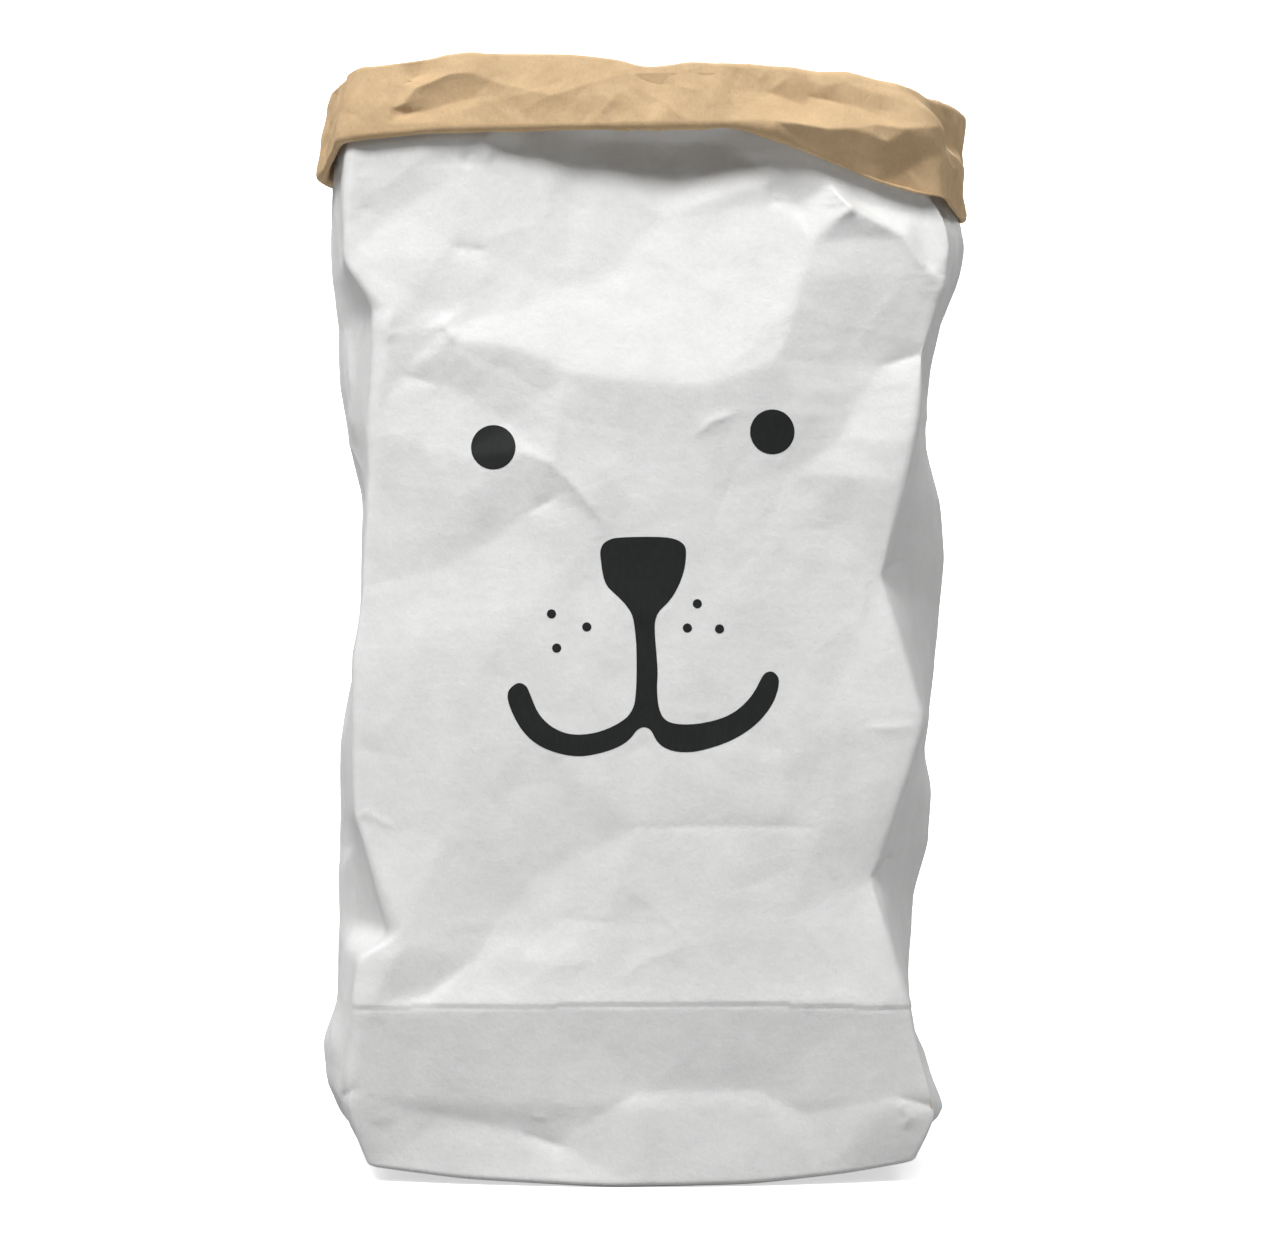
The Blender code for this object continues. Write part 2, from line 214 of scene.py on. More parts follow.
RIM_FACETS = (
    # Left: soft corner, tuck from the top, long fold and its shaded hollow
    ((-151, 614, 0), (-150, 590, 1.5), (-149, 575, 1)),
    ((-125, 620, -1.5), (-127, 609, -1.5), (-133, 603, -0.5)),
    ((-112, 622, 0.5), (-117, 609, 1)),
    ((-139, 589, 0.5), (-132, 592, 2), (-126, 600, 3), (-108, 608, 3.2), (-95, 609, 3),
     (-91, 607, 2.5), (-74, 601, 3), (-51, 595, 3.5), (-38, 600, 3.2), (-20, 606, 2.6),
     (-12, 608, 2.2)),
    ((-134, 587, -1), (-120, 589, -0.5), (-104, 594, 0), (-85, 597, 1)),
    ((-139, 581, 1.5), (-110, 582, 2), (-60, 581, 2.2), (0, 582, 2.2), (40, 583, 2)),
    ((-90, 622, -0.5), (-40, 621, -0.5), (0, 620, -1)),
    # Middle: a dark line, a small crease, and a soft dent from the top
    ((-12, 608, 2.2), (9, 603, 1), (17, 602, 1.6), (28, 598, 2.2)),
    ((46, 612, 0.6), (48, 600, 0.2), (54, 592, 1.8)),
    ((62, 612, 1.8), (67, 598, 1.6), (79, 606, 2.8)),
    # Right: the pocket, the overhanging ridge below it, and the facets turned under it
    ((79, 606, 6), (83, 591, 3.6), (88, 595.5, 4.2), (96.5, 593.5, 6), (108.5, 589.5, 9),
     (122.5, 584, 11.5), (134.5, 580, 13.5), (145.5, 579.5, 9.5)),
    ((88, 608, 5.5), (96, 601, 8), (109.5, 603, 9), (122, 597, 11), (134.5, 595.5, 10)),
    ((40, 583, 2), (53, 580.5, 5), (75, 578.5, 10), (92, 575.5, 13), (107, 576.5, 14),
     (118, 578, 15), (133.5, 576, 15), (147, 578, 9.5)),
    ((107, 576.5, 14), (120.5, 569, 13.5), (133.5, 576, 15)),
    ((75, 578.5, 10), (80, 566, 0)),
    ((92, 575.5, 13), (95, 565, 5), (100, 555, -3)),
    ((107, 576.5, 14), (103, 561, 2)),
    ((120.5, 569, 13.5), (117, 558, 3), (111, 550, -3)),
    ((147, 567, 5), (131, 558, 0), (138, 544, -3)),
    ((120.5, 569, 13.5), (131, 558, 0)),
    # The corner ridge and the wrinkled right side, turned under twice
    ((139, 604, 3), (134.5, 595.5, 10), (148, 580, 8.5), (157, 567, 5)),
    ((139, 604, 3), (168, 601, 3), (200, 600, 5), (235, 602, 3)),
    ((154, 581, 3), (172, 579, -1), (200, 581, -1), (235, 579, -1)),
    ((157, 567, 5), (168, 570, 5), (182, 567, 8), (205, 570, 5), (235, 567, 1)),
    ((182, 567, 8), (174, 544, -3)),
    ((205, 570, 5), (198, 542, -3), (235, 543, -2)),
    # Sides and back
    ((-176, 606, 1), (-182, 588, 2), (-205, 575, 0)),
    ((-230, 610, -1), (-236, 590, 1.5), (-228, 572, 0)),
    ((-300, 612, 1), (-280, 592, 2), (-320, 580, 0.5), (-350, 590, 2.5), (-400, 596, 1)),
    ((300, 606, 1), (276, 590, 2.5), (318, 572, 1), (352, 592, 2.5), (400, 586, 0.5)),
    ((455, 606, 0.5), (430, 592, 2), (470, 580, 1)),
    ((-455, 606, 0.5), (-440, 588, 2), (-470, 582, 1)),
)


# ---- small maths helpers


def along(points, z):
    """The value of a (height, place) outline at each height: a table in millimetres."""
    heights, places = np.transpose(points) * MM
    return np.interp(z, heights, places)


def softened(values, sigma, axis=0, closed=False):
    """Values blurred along one axis by a bell curve of sigma samples."""
    reach = int(np.ceil(3 * sigma))
    weights = np.exp(-0.5 * (np.arange(-reach, reach + 1) / sigma) ** 2)
    weights /= weights.sum()
    moved = np.moveaxis(values, axis, 0)
    mode = "wrap" if closed else "edge"
    padding = [(reach, reach)] + [(0, 0)] * (moved.ndim - 1)
    padded = np.pad(moved, padding, mode=mode)
    total = sum(w * padded[i : i + len(moved)] for i, w in enumerate(weights))
    return np.moveaxis(total, 0, axis)


def eased(value, low, high):
    """0 below low, 1 above high, and smooth between."""
    t = np.clip((value - low) / (high - low), 0, 1)
    return t * t * (3 - 2 * t)


def grid_normals(points):
    """Unit normals of a grid of points that is closed along its second axis."""
    around = np.roll(points, -1, axis=1) - np.roll(points, 1, axis=1)
    up = np.gradient(points, axis=0)
    normal = np.cross(around, up)
    return normal / np.maximum(np.linalg.norm(normal, axis=2, keepdims=True), 1e-12)


# ---- folds, dents and wrinkles


def fold(a, z, path, height, width, below=None):
    """A crease along a path of (a, z) points: sharp on the line and fading on both sides.

    width is how far the paper takes to fall away on the left of the path's direction, and
    below on its right. The crease also fades out at both ends of the path.
    """
    below = below or width
    path = np.array(path, float)
    reach = FOLD_REACH * max(width, below)
    low, high = path.min(axis=0) - reach, path.max(axis=0) + reach
    near = (a > low[0]) & (a < high[0]) & (z > low[1]) & (z < high[1])
    near_a, near_z = a[near], z[near]
    steps = np.diff(path, axis=0)
    lengths = np.hypot(steps[:, 0], steps[:, 1])
    starts = np.concatenate([[0], np.cumsum(lengths)])
    nearest = np.full(near_a.shape, 1e9)
    signed = np.zeros(near_a.shape)
    travelled = np.zeros(near_a.shape)
    for i, (step, length) in enumerate(zip(steps, lengths)):
        da, dz = near_a - path[i, 0], near_z - path[i, 1]
        t = np.clip((da * step[0] + dz * step[1]) / length**2, 0, 1)
        gap_a, gap_z = da - t * step[0], dz - t * step[1]
        gap = np.hypot(gap_a, gap_z)
        side = np.sign(step[0] * gap_z - step[1] * gap_a)
        closer = gap < nearest
        nearest = np.where(closer, gap, nearest)
        signed = np.where(closer, side * gap, signed)
        travelled = np.where(closer, starts[i] + t * length, travelled)
    total = starts[-1]
    fade = min(0.35 * total, 0.020)
    ends = eased(travelled, -0.3 * fade, fade) * eased(total - travelled, -0.3 * fade, fade)
    fall = np.where(signed > 0, width, below)
    far = np.exp(-FOLD_REACH)
    raised = np.zeros(a.shape)
    raised[near] = height * ends * np.maximum(np.exp(-nearest / fall) - far, 0) / (1 - far)
    return raised


def from_floor(lines):
    """The lines of a facet table, with their heights over the floor."""
    return [[(x, height + TABLE_FLOOR, out) for x, height, out in line] for line in lines]


def facets(a, z, lines, box):
    """Flat facets bent along lines: a surface of triangles through all their points.

    lines and box are in millimetres, and the surface is at zero all round box.
    """
    left, low, right, high = box
    across = np.linspace(left, right, 9)
    up = np.linspace(low, high, 7)
    border = [(x, low, 0) for x in across] + [(right, y, 0) for y in up[1:]]
    border += [(x, high, 0) for x in across[-2::-1]] + [(left, y, 0) for y in up[-2:0:-1]]
    places, outs, edges = [], [], []
    for line in (*lines, border + border[:1]):
        first = len(places)
        places += [Vector(point[:2]) for point in line]
        outs += [point[2] for point in line]
        edges += [(first + i, first + i + 1) for i in range(len(line) - 1)]
    corners, _, triangles, sources, *_ = delaunay_2d_cdt(places, edges, [], 0, 0.4)
    depth = [np.mean([outs[i] for i in source]) if source else None for source in sources]
    total = np.zeros(a.shape)
    for triangle in triangles:
        if any(depth[i] is None for i in triangle):
            raise ValueError(f"two facet lines cross near {corners[triangle[0]]}")
        fill_triangle(total, a, z, [corners[i] for i in triangle], [depth[i] for i in triangle])
    return total * MM


def fill_triangle(total, a, z, corners, values):
    """Puts the plane through three values into total, where (a, z) is in the triangle."""
    points = np.array([(c.x, c.y) for c in corners]) * MM
    low, high = points.min(axis=0), points.max(axis=0)
    near = (a >= low[0]) & (a <= high[0]) & (z >= low[1]) & (z <= high[1])
    frame_of = np.array([points[1] - points[0], points[2] - points[0]]).T
    if not near.any() or abs(np.linalg.det(frame_of)) < 1e-12:
        return
    offsets = np.stack([a[near] - points[0, 0], z[near] - points[0, 1]])
    u, v = np.linalg.inv(frame_of) @ offsets
    inside = (u >= -1e-6) & (v >= -1e-6) & (u + v <= 1 + 1e-6)
    plane = values[0] + u * (values[1] - values[0]) + v * (values[2] - values[0])
    total[near] = np.where(inside, plane, total[near])


def crumpled(a, z, box, spacing, height, seed):
    """Crushed paper: random flat facets about spacing wide, in millimetres like their box."""
    draw = np.random.default_rng(seed)
    left, low, right, high = box
    count = int((right - left) * (high - low) / spacing**2)
    places = draw.uniform((left, low), (right, high), (count, 2))
    outs = draw.normal(0, height, count)
    corners = [((x, y, out),) for (x, y), out in zip(places, outs)]
    return blurred(facets(a, z, corners, box), 1.0)


def dent(a, z, centre, size, depth, lean, stretch):
    """A smooth hollow (negative depth) or swelling, longer along its lean in degrees."""
    turn = np.radians(lean)
    da, dz = a - centre[0], z - centre[1]
    main = (da * np.cos(turn) + dz * np.sin(turn)) / (size * stretch)
    cross = (dz * np.cos(turn) - da * np.sin(turn)) / size
    return depth * np.exp(-0.5 * (main**2 + cross**2))


def folds(a, z, table, strength):
    """All the folds of a table of (path, height, width, width on the right of the path)."""
    total = np.zeros(a.shape)
    for path, height, width, below in table:
        path = (np.array(path) + (0, TABLE_FLOOR)) * MM
        total += fold(a, z, path, strength * height * MM, width * MM, below * MM)
    return total


def random_folds(a, z, box, count, seed, height, width, length):
    """Many small creases with random places and directions inside box."""
    draw = np.random.default_rng(seed)
    total = np.zeros(a.shape)
    for _ in range(count):
        middle_a = draw.uniform(box[0], box[2])
        middle_z = draw.uniform(box[1], box[3])
        turn = draw.uniform(0, np.pi)
        half = draw.uniform(*length) / 2
        step_a, step_z = half * np.cos(turn), half * np.sin(turn)
        bend_a, bend_z = draw.normal(0, 0.12 * half, 2)
        path = (
            (middle_a - step_a, middle_z - step_z),
            (middle_a + bend_a, middle_z + bend_z),
            (middle_a + step_a, middle_z + step_z),
        )
        rise = draw.uniform(*height) * draw.choice((-1, 1))
        wide, narrow = draw.uniform(*width, 2)
        total += fold(a, z, path, rise, wide, narrow)
    return total


def waves(a, z, seed, size, count=9):
    """Soft undulation of unit height: a few random sine waves about size metres long."""
    draw = np.random.default_rng(seed)
    total = np.zeros(a.shape)
    for _ in range(count):
        turn, phase = draw.uniform(0, 2 * np.pi, 2)
        rate = 2 * np.pi / (size * draw.uniform(0.7, 1.6))
        total += np.sin(rate * (a * np.cos(turn) + z * np.sin(turn)) + phase)
    return total / np.sqrt(count)


# ---- the wall's outline


def section(z):
    """The sack's outline at each height: places across, and places front to back."""
    corners = [
        (along(FRONT_LEFT_X, z), along(FRONT_EDGE_Y, z)),
        (along(FRONT_RIGHT_X, z), along(FRONT_EDGE_Y, z)),
        (along(RIGHT_EDGE_X, z), np.zeros_like(z)),
        (along(BACK_HALF_X, z), along(BACK_EDGE_Y, z)),
        (-along(BACK_HALF_X, z), along(BACK_EDGE_Y, z)),
        (along(LEFT_EDGE_X, z), np.zeros_like(z)),
    ]
    counts = [FRONT_COLUMNS, SIDE_COLUMNS, SIDE_COLUMNS, BACK_COLUMNS, SIDE_COLUMNS, SIDE_COLUMNS]
    runs_x, runs_y = [], []
    for i, count in enumerate(counts):
        (ax, ay), (bx, by) = corners[i], corners[(i + 1) % 6]
        share = np.arange(count) / count
        x = ax[:, None] + (bx - ax)[:, None] * share
        y = ay[:, None] + (by - ay)[:, None] * share
        crown = 1 - (2 * share - 1) ** 2
        if i == 0:
            y = y - along(FRONT_BULGE, z)[:, None] * crown
        if i == 3:
            y = y + along(BACK_BULGE, z)[:, None] * crown
        runs_x.append(x)
        runs_y.append(y)
    x = np.concatenate(runs_x, axis=1)
    y = np.concatenate(runs_y, axis=1)
    x, y = softened(x, 2.2, 1, True), softened(y, 2.2, 1, True)
    return x, y


def distance_round(x, y):
    """Distance round the sack from the middle of the front, positive to the right."""
    step = np.hypot(np.roll(x, -1, 1) - x, np.roll(y, -1, 1) - y)
    along_row = np.concatenate([np.zeros((len(x), 1)), np.cumsum(step, axis=1)[:, :-1]], axis=1)
    total = step.sum(axis=1, keepdims=True)
    front = np.abs(x[:, :FRONT_COLUMNS]).argmin(axis=1)
    zero = np.take_along_axis(along_row, front[:, None], axis=1)
    moved = along_row - zero
    return np.where(moved > total / 2, moved - total, moved)


FRONT_FOLDS = (
    # (path in millimetres, height, width, width on the right of the path), left to right
    (((-96, 570), (-97, 558)), -0.8, 3, 5),
    (((-90, 578), (-84, 569), (-86, 560)), 1.0, 3, 4),
    (((-106, 516), (-84, 513)), -0.7, 2.5, 6),
    (((-108, 477), (-106, 468), (-101, 463)), 1.0, 3, 3),
    (((-133, 446), (-112, 440)), -0.6, 4, 3),
    (((-138, 482), (-138, 462)), 0.8, 2.5, 4),
    (((70, 552), (72, 541), (78, 539)), -1.0, 3, 3),
    (((101, 550), (108, 541), (113, 535), (105, 530)), 2.2, 3, 4),
    (((113, 536), (142, 521), (157, 500), (164, 492)), 1.4, 6, 4),
    (((157, 505.6), (163, 496.6), (161, 484.6)), 1.3, 2.5, 5),
    (((130, 450), (158, 459)), -0.9, 4, 3),
    (((28, 412), (37, 419), (51, 424)), 0.9, 3, 3.5),
    (((-66, 403), (-51, 397), (-36, 383), (-20, 362)), 0.6, 3.5, 3),
    (((-46, 379), (-63, 370)), -0.6, 3, 4),
    (((120, 252), (153, 254)), 0.7, 3, 5),
    (((132, 335), (150, 342), (170, 345)), -1.2, 3, 5),
    (((127, 170), (150, 180), (168, 178)), -1.6, 3, 5),
    (((-2, 198.5), (40, 199.5), (97, 198.5)), -0.35, 3, 3),
    (((-160, 202), (-151, 206), (-135, 197)), 0.5, 3, 3),
    (((89, 111), (89.5, 95)), 0.15, 1.5, 1.5),
    (((-188, 44), (-174, 49), (-157, 53)), -1.4, 4, 5),
    (((-70, 31), (-47, 23), (-40, 22)), -0.9, 4, 4),
    (((-62, 40), (-52, 39)), 0.4, 2, 2),
    (((140, 50), (146, 36), (143, 28)), 1.0, 4, 3),
    (((137, 49), (172, 38)), -1.0, 4, 3),
)


def front_creases(a, z):
    """The folds, facets and dents of the printed face and the sides beside it."""
    flat = facets(a, z, from_floor(FRONT_FACETS), FRONT_HALF)
    d = WALL_STRENGTH * (0.65 * blurred(flat, 1.0) + 0.35 * blurred(flat, 3.0))
    d += folds(a, z, FRONT_FOLDS, WALL_FOLD_STRENGTH)
    d += dent(a, z, (-0.018, 0.499), 0.005, -0.0006, 20, 2.0)
    d += dent(a, z, (0.085, 0.505), 0.010, -0.0008, 30, 1.5)
    return d


def blurred(surface, sigma):
    """A grid of values blurred by sigma samples both ways, closed along its second axis."""
    return softened(softened(surface, sigma, 0), sigma, 1, True)


def bottom_crease(a, z):
    """The line where the flat sack's bottom was folded up: a lip above and a ridge below."""
    line = BOTTOM_CREASE_Z + 0.0030 - 0.003 * (a / 0.14) ** 2 + 0.0004 * np.sin(a * 31)
    height = z - line
    reach = eased(0.166 - np.abs(a), 0.0, 0.010)
    lip = np.where(height > 0, 0.0012 * np.exp(-np.maximum(height, 0) / 0.009), 0.0)
    shelf = np.where(height < 0, 0.0006 * np.exp(-np.maximum(-height - 0.001, 0) / 0.012), 0.0)
    groove = -0.0006 * np.exp(-np.abs(height + 0.0006) / 0.0011)
    return reach * (lip + shelf + groove)


def edge_ridges():
    """How far the flat tube's old edges and corners stand out, at each column."""
    column = np.arange(COLUMNS)
    raised = np.zeros(COLUMNS)
    corner = FRONT_COLUMNS
    for count, height in ((SIDE_COLUMNS, 0.0012), (SIDE_COLUMNS, 0.0007),
                          (BACK_COLUMNS, 0.0007), (SIDE_COLUMNS, 0.0012)):
        corner += count
        raised += height * np.exp(-np.abs(column - corner) / EDGE_RIDGE_COLUMNS)
    return raised


def wall_relief(a, z):
    """Every fold, dent and wrinkle of the wall, as a distance outwards."""
    ahead = eased(0.24 - np.abs(a), 0, 0.02)
    behind = 1 - eased(0.235 - np.abs(a), 0, 0.05)
    d = random_folds(
        a, z, (-0.5, 0.10, 0.5, 0.57), 170, 5, (0.0002, 0.0007), (0.004, 0.014), (0.02, 0.07)
    )
    d += behind * random_folds(
        a, z, (-0.5, 0.05, 0.5, 0.57), 90, 11, (0.0006, 0.0020), (0.006, 0.018), (0.04, 0.12)
    )
    d += random_folds(
        a, z, (-0.5, 0.52, 0.5, 0.60), 70, 8, (0.0003, 0.0010), (0.004, 0.012), (0.015, 0.04)
    )
    off_edge = 1 - 0.8 * np.exp(-(((np.abs(a) - 0.252) / 0.016) ** 2))
    grounded = eased(z, 0.0, 0.030)
    d += behind * off_edge * grounded * crumpled(a, z, WHOLE_WALL, 62, 3.0, 41)
    d += grounded * crumpled(a, z, WHOLE_WALL, 27, 0.28, 42)
    d += 0.0004 * waves(a, z, 3, 0.12) + 0.00015 * waves(a, z, 4, 0.035)
    d *= eased(np.abs(a).max(axis=1, keepdims=True) - np.abs(a), 0, SEAM_FADE)
    d += ahead * (front_creases(a, z) + bottom_crease(a, z)) + edge_ridges()
    below_rim = rim_heights(a)[1] - RIM_LIMIT_START - z
    limit = RIM_LIMIT + np.maximum(below_rim, 0)
    return -LIMIT_SOFTNESS * np.logaddexp(-d / LIMIT_SOFTNESS, -limit / LIMIT_SOFTNESS)


def rim_heights(a):
    """Height of the rolled rim's top and of its lower edge, at each distance round."""
    top = softened(along(RIM_TOP_Z, a), 3, closed=True)
    bottom = softened(along(RIM_BOTTOM_Z, a), 3, closed=True)
    return top, bottom


def build_wall():
    """The outer ply's surface as a grid of points, and the level way out of the sack at each."""
    z = np.linspace(0.0, WALL_TOP_Z, ROWS)
    x, y = section(z)
    spacing = z[1] - z[0]
    x = softened(x, 0.0035 / spacing, 0)
    y = softened(y, 0.0035 / spacing, 0)
    a = distance_round(x, y)
    heights = np.repeat(z[:, None], COLUMNS, axis=1)
    top = rim_heights(a[-1])[0] - RIM_TUCK
    heights = heights + (top - WALL_TOP_Z) * eased(heights, WALL_TOP_Z - 0.09, WALL_TOP_Z)
    points = np.stack([x, y, heights], axis=2)
    flat = grid_normals(points) * (1, 1, 0)
    flat /= np.linalg.norm(flat, axis=2, keepdims=True)
    points = points + flat * wall_relief(a, heights)[:, :, None]
    # The bottom edge turns under, and its corners lift a little off the floor.
    turn = np.clip(1 - heights / EDGE_RADIUS, 0, 1)
    points -= flat * (EDGE_RADIUS * (1 - np.sqrt(np.maximum(1 - turn**2, 0))))[:, :, None]
    lift = softened(along(BOTTOM_LIFT, a[0]), 6, 0, True)
    points[:, :, 2] += lift * np.exp(-heights / 0.030)
    return points, flat


# ---- the rolled rim


RIM_FOLDS = (
    (((-125, 619), (-127, 609), (-133, 603)), -1.0, 2, 4),
    (((-144, 608), (-134, 602), (-125, 606)), 0.6, 3, 3),
    (((-139, 590), (-132, 592), (-126, 600), (-108, 608), (-95, 609), (-90, 607)), 0.9, 4, 3),
    (((-139, 590), (-126, 588)), -1.4, 2.5, 3),
    (((-112, 619), (-98, 617)), -0.5, 3, 3),
    (((-91, 606), (-74, 601), (-51, 595), (-38, 600), (-12, 608)), 0.5, 4, 4),
    (((-12, 608), (9, 603), (17, 602)), -0.5, 2, 4),
    (((16.6, 601.6), (28.5, 597.7)), 0.6, 2, 2),
    (((54, 611), (50, 602)), -0.5, 3, 5),
    (((66, 598), (79, 606.5)), 0.9, 3, 2),
    (((60, 604), (70, 611)), 0.5, 3, 3),
    (((82.5, 590.5), (88, 596), (96.5, 593.7), (108.5, 589.7)), -0.9, 3, 2.5),
    (((53, 580.5), (75, 578.5), (92, 575.5), (107, 576.5)), 0.7, 4, 4),
    (((107, 576.5), (118, 578), (133, 576.3), (147, 578)), 0.8, 3, 3),
    (((104, 576), (120.5, 569), (121.5, 572)), 0.8, 3, 4),
    (((134.5, 595.5), (148, 580), (157, 567)), 1.0, 4, 4),
    (((128, 560), (136, 540)), 0.8, 3, 5),
    (((152, 600), (150, 586)), 0.6, 4, 4),
    (((150, 583), (158, 580)), -1.0, 2, 3),
    (((146, 568), (160, 562), (182, 560.5)), 0.9, 3, 4),
    (((212, 562), (206, 545)), 1.0, 4, 5),
)


def rim_relief(a, z):
    """The folds and facets of the rolled rim, as a distance outwards."""
    flat = facets(a, z, from_floor(RIM_FACETS), RIM_BAND)
    d = 0.75 * blurred(flat, 0.8) + 0.25 * blurred(flat, 2.0)
    d += folds(a, z, RIM_FOLDS, RIM_FOLD_STRENGTH)
    d += random_folds(
        a, z, (-0.5, 0.535, 0.5, 0.62), 260, 21, (0.0003, 0.0009), (0.0025, 0.008), (0.010, 0.040)
    )
    behind = eased(np.abs(a), 0.17, 0.22)
    d += behind * random_folds(
        a, z, (-0.5, 0.535, 0.5, 0.62), 110, 22, (0.0006, 0.0018), (0.005, 0.012), (0.02, 0.06)
    )
    d += 0.0003 * waves(a, z, 23, 0.05) + crumpled(a, z, RIM_BAND, 17, 0.5, 43)
    return d * eased(np.abs(a).max() - np.abs(a), 0, SEAM_FADE)


def rim_profile(a):
    """The rim's cross-section at each distance round, as offsets out and heights.

    It starts inside the mouth, turns over the top, runs down the outside, turns under at
    the lower edge and goes up again behind, where the raw edge is hidden.
    """
    top, bottom = rim_heights(a)
    out_top = softened(along(RIM_OUT_TOP, a), 3, closed=True)
    out_low = softened(along(RIM_OUT_LOW, a), 3, closed=True)
    roll = (out_top + RIM_INSIDE) / 2
    offsets, heights, strength = [], [], []

    def add(offset, height, share):
        offsets.append(np.broadcast_to(offset, a.shape))
        heights.append(np.broadcast_to(height, a.shape))
        strength.append(share)

    for step in range(RIM_STEPS["inside"]):
        share = step / RIM_STEPS["inside"]
        add(-RIM_INSIDE, top - roll - 0.012 * (1 - share), 0.0)
    for step in range(RIM_STEPS["top"]):
        angle = np.pi * step / RIM_STEPS["top"]
        add(-RIM_INSIDE + roll * (1 - np.cos(angle)), top - roll + roll * np.sin(angle),
            eased(angle, 0.4, np.pi))
    for step in range(RIM_STEPS["face"]):
        share = step / RIM_STEPS["face"]
        add(out_top + (out_low - out_top) * share,
            (top - roll) * (1 - share) + (bottom + LOWER_ROLL) * share, 1.0)
    for step in range(RIM_STEPS["under"]):
        angle = np.pi * step / RIM_STEPS["under"]
        add(out_low - LOWER_ROLL * (1 - np.cos(angle)),
            bottom + LOWER_ROLL - LOWER_ROLL * np.sin(angle), 1 - 0.5 * step / RIM_STEPS["under"])
    for step in range(RIM_STEPS["return"]):
        add(out_low - 2 * LOWER_ROLL, bottom + LOWER_ROLL + 0.0012 * step, 0.5)
    return np.array(offsets), np.array(heights), np.array(strength)


def build_rim():
    """The rolled rim's grid of points, round the sack's outline at each height."""
    x, y = section(np.array([RIM_MIDDLE_Z]))
    around = distance_round(x, y)[0]
    offsets, heights, strength = rim_profile(around)
    levels = np.array([RIM_LOW_Z, RIM_HIGH_Z])
    low, high = softened(np.stack(section(levels), axis=2), 2.5, 1, True)
    share = np.clip((heights - RIM_LOW_Z) / (RIM_HIGH_Z - RIM_LOW_Z), 0, 1)[:, :, None]
    base = low * (1 - share) + high * share
    along_base = np.roll(base, -1, 1) - np.roll(base, 1, 1)
    outward = np.stack([along_base[:, :, 1], -along_base[:, :, 0]], axis=2)
    outward = softened(outward / np.linalg.norm(outward, axis=2, keepdims=True), 2.0, 1, True)
    points = np.dstack([base + outward * offsets[:, :, None], heights])
    around = np.repeat(around[None], len(points), axis=0)
    relief = rim_relief(around, heights) * strength[:, None]
    deepest = RIM_CLEAR - np.minimum(offsets, RIM_CLEAR + 0.02)
    relief = np.where(relief < 0, np.maximum(relief, np.minimum(deepest, 0)), relief)
    # The grid runs down the outer face, so its own normals point into the roll.
    points = points - grid_normals(points) * relief[:, :, None]
    return points[::-1]


# ---- objects and materials


FLOOR_TONE = 0.93
FLOOR_BOUNCE = 0.34
FLOOR_GLOW = 0.60
AIR_SEEN, AIR_LIGHT = 1.0, 0.08


def make_object(name, vertices, faces, looks):
    mesh = bpy.data.meshes.new(name)
    mesh.from_pydata([tuple(v) for v in np.asarray(vertices, float)], [], faces)
    mesh.materials.append(looks)
    mesh.shade_smooth()
    obj = bpy.data.objects.new(name, mesh)
    bpy.context.scene.collection.objects.link(obj)
    return obj


def grid_faces(rows, columns, closed=True):
    """Quads of a grid, with its last column joined to its first if closed."""
    row, column = np.meshgrid(
        np.arange(rows - 1), np.arange(columns if closed else columns - 1), indexing="ij"
    )
    beside = (column + 1) % columns
    quads = np.stack(
        [row * columns + column, row * columns + beside,
         (row + 1) * columns + beside, (row + 1) * columns + column], axis=2
    )
    return quads.reshape(-1, 4).tolist()


def make_skin(name, points, looks):
    """A grid of points that goes all the way round, as an object."""
    return make_object(name, points.reshape(-1, 3), grid_faces(len(points), COLUMNS), looks)


class Nodes:
    """A material's node tree, with short calls to add and join its nodes."""

    def __init__(self, name):
        self.material = bpy.data.materials.new(name)
        self.material.use_nodes = True
        self.tree = self.material.node_tree
        self.shader = self.tree.nodes["Principled BSDF"]
        self.place = self.tree.nodes.new("ShaderNodeTexCoord").outputs["Object"]

    def add(self, kind, **values):
        node = self.tree.nodes.new(kind)
        for key, value in values.items():
            if key in node.inputs:
                node.inputs[key].default_value = value
            else:
                setattr(node, key, value)
        return node

    def join(self, source, target):
        self.tree.links.new(source, target)

    def stretched(self, scale):
        node = self.add("ShaderNodeMapping")
        node.inputs["Scale"].default_value = scale
        self.join(self.place, node.inputs["Vector"])
        return node.outputs["Vector"]

    def noise(self, scale, detail=4.0, stretch=(1, 1, 1), roughness=0.55):
        node = self.add("ShaderNodeTexNoise", Scale=scale, Detail=detail, Roughness=roughness)
        self.join(self.stretched(stretch), node.inputs["Vector"])
        return node.outputs["Fac"]

    def ramp(self, source, stops):
        node = self.add("ShaderNodeValToRGB")
        for element, (position, colour) in zip(node.color_ramp.elements, stops):
            element.position, element.color = position, colour
        self.join(source, node.inputs["Fac"])
        return node.outputs["Color"]

    def multiplied(self, first, second):
        node = self.add("ShaderNodeMix", data_type="RGBA", blend_type="MULTIPLY")
        node.inputs["Factor"].default_value = 1.0
        self.join(first, node.inputs["A"])
        self.join(second, node.inputs["B"])
        return node.outputs["Result"]

    def bump(self, layers):
        """Bumps of (height output, distance in metres, strength), one on another."""
        last = None
        for source, distance, strength in layers:
            node = self.add("ShaderNodeBump", Strength=strength, Distance=distance)
            self.join(source, node.inputs["Height"])
            if last:
                self.join(last, node.inputs["Normal"])
            last = node.outputs["Normal"]
        self.join(last, self.shader.inputs["Normal"])


def grey(value):
    return (value, value, value, 1)


